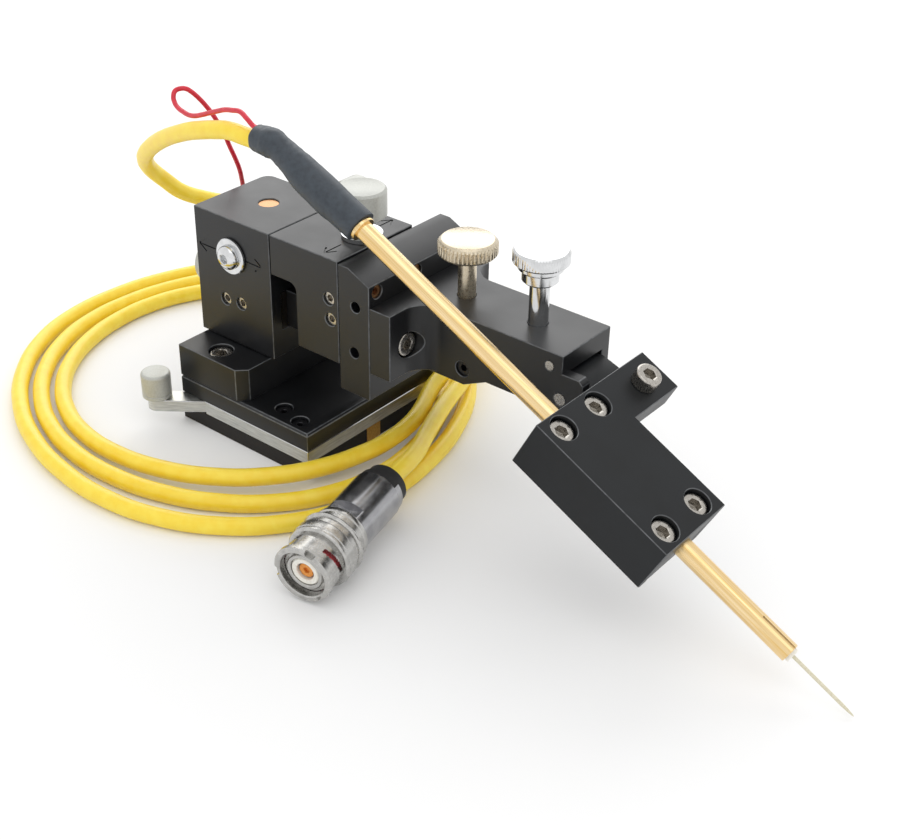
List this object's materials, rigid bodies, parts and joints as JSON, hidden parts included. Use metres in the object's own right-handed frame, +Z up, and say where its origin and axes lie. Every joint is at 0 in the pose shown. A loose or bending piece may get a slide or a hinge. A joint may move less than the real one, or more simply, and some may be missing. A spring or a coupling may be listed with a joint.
{
  "type": "micromanipulator",
  "caption": "Probe positioner of stacked screw-driven slides on a switchable magnetic base, with knobs, a tilting arm, a slanted tube with a fine needle, and a coiled cable with a bayonet plug.",
  "frame": {"origin": "centre of the base underside, on the surface that it stands on", "axes": "+X along the base front edge towards the arm and needle, +Y from the front towards the back, +Z up"},
  "size_m": [0.2246, 0.1194, 0.0762],
  "materials": {
    "black_anodised": "black anodised, fine satin",
    "iron_black": "blackened iron, satin",
    "bright_plate": "bright machined",
    "pale_knob": "pale satin",
    "bright_steel": "polished",
    "warm_nickel": "warm nickel, machined",
    "screw_steel": "satin steel",
    "brass": "machined brass",
    "gold_tube": "drawn golden tube",
    "copper_screw": "coppery",
    "needle_metal": "pale drawn wire",
    "insulator_white": "white insulator",
    "sleeve_black": "blue-black shrink tubing",
    "cable_yellow": "yellow jacket, soft gloss",
    "wire_red": "red insulation",
    "tinned": "tinned copper",
    "rubber_black": "black rubber",
    "dark_chrome": "dark chrome",
    "nickel": "nickel plated",
    "seal_red": "red seal",
    "magnet": "plated magnet"
  },
  "bodies": {
    "base": {"magnet_poles": "iron_black", "pole_divider": "brass", "magnet_plate": "bright_plate", "base_deck": "black_anodised", "deck_screws": "screw_steel", "y_guide": "black_anodised", "guide_screw": "screw_steel", "screw_post": "black_anodised", "post_screws": "screw_steel", "cable_rise": "cable_yellow", "cable_loops": "cable_yellow", "cable_tail": "cable_yellow", "plug_bush": "rubber_black", "plug_shell": "dark_chrome", "plug_nut": "nickel", "plug_body": "nickel", "plug_seal": "seal_red", "plug_contact": "copper_screw"},
    "lever": {"lever_bar": "bright_plate", "lever_magnet": "magnet", "lever_knob": "pale_knob"},
    "y_drive": {"y_screw": "screw_steel", "y_knob": "pale_knob", "y_washer": "bright_steel", "y_end_screw": "bright_steel"},
    "y_stage": {"left_block": "black_anodised", "y_nut": "brass", "x_gib": "iron_black", "x_set_screws": "screw_steel"},
    "x_drive": {"x_screw": "screw_steel", "x_knob": "pale_knob"},
    "x_stage": {"column_block": "black_anodised", "z_gib": "iron_black", "z_set_screws": "screw_steel"},
    "z_drive": {"z_screw": "screw_steel", "z_washer": "bright_steel", "z_knob": "pale_knob"},
    "z_stage": {"riser_block": "black_anodised", "riser_side_screws": "copper_screw", "bracket_arm": "black_anodised", "bracket_screws": "screw_steel", "arm_dowel": "screw_steel", "pivot_pin": "screw_steel", "arm_side_plug": "iron_black", "thumb_pad": "brass"},
    "warm_thumb": {"thumb_screw_warm": "warm_nickel"},
    "bright_thumb": {"thumb_screw_bright": "bright_steel"},
    "probe_holder": {"tilt_lever": "black_anodised", "clamp_body": "black_anodised", "clamp_bar": "black_anodised", "clamp_screws": "screw_steel", "ear_screw": "screw_steel", "probe_tube": "gold_tube", "probe_core": "insulator_white", "needle": "needle_metal", "shrink_sleeve": "sleeve_black", "cable_lead": "cable_yellow", "earth_wire": "wire_red", "wire_tip": "tinned"},
    "plug_coupling": {"plug_ring": "nickel"}
  },
  "joints": [
    {"name": "lever_turn", "type": "hinge", "parent": "base", "child": "lever", "pos_m": [0.0005, -0.0081, 0.00535], "axis": [0, 0, -1], "range_deg": [0, 60]},
    {"name": "y_knob_turn", "type": "hinge", "parent": "base", "child": "y_drive", "pos_m": [-0.0098, 0.0185, 0.0416], "axis": [0, -1, 0], "range_deg": [0, 3600]},
    {"name": "y_slide", "type": "slide", "parent": "base", "child": "y_stage", "axis": [0, 1, 0], "range_m": [0, 0.005]},
    {"name": "x_knob_turn", "type": "hinge", "parent": "y_stage", "child": "x_drive", "pos_m": [-0.02, -0.0015, 0.0306], "axis": [-1, 0, 0], "range_deg": [0, 4320]},
    {"name": "x_slide", "type": "slide", "parent": "y_stage", "child": "x_stage", "axis": [1, 0, 0], "range_m": [0, 0.006]},
    {"name": "z_knob_turn", "type": "hinge", "parent": "x_stage", "child": "z_drive", "pos_m": [0.0173, 0.0001, 0.05], "axis": [0, 0, -1], "range_deg": [-3600, 3600]},
    {"name": "z_slide", "type": "slide", "parent": "x_stage", "child": "z_stage", "axis": [0, 0, 1], "range_m": [-0.005, 0.005]},
    {"name": "warm_thumb_turn", "type": "hinge", "parent": "z_stage", "child": "warm_thumb", "pos_m": [0.0415, 0.0058, 0.0424], "axis": [0, 0, 1], "range_deg": [-180, 180]},
    {"name": "bright_thumb_turn", "type": "hinge", "parent": "z_stage", "child": "bright_thumb", "pos_m": [0.06, 0.0058, 0.0424], "axis": [0, 0, -1], "range_deg": [0, 600]},
    {"name": "tilt", "type": "hinge", "parent": "z_stage", "child": "probe_holder", "pos_m": [0.0719, 0.0058, 0.0325], "axis": [0, -1, 0], "range_deg": [0, 4]},
    {"name": "plug_coupling_turn", "type": "hinge", "parent": "base", "child": "plug_coupling", "pos_m": [0.0424, -0.021, 0.00867], "axis": [0.1923, -0.9799, -0.0523], "range_deg": [0, 90]}
  ],
  "couplings": [
    {"joint": "y_knob_turn", "follows": "y_slide", "rad_per_m": 12566},
    {"joint": "x_knob_turn", "follows": "x_slide", "rad_per_m": 12566},
    {"joint": "z_knob_turn", "follows": "z_slide", "rad_per_m": 12566},
    {"joint": "bright_thumb_turn", "follows": "tilt", "ratio": 149.54}
  ]
}
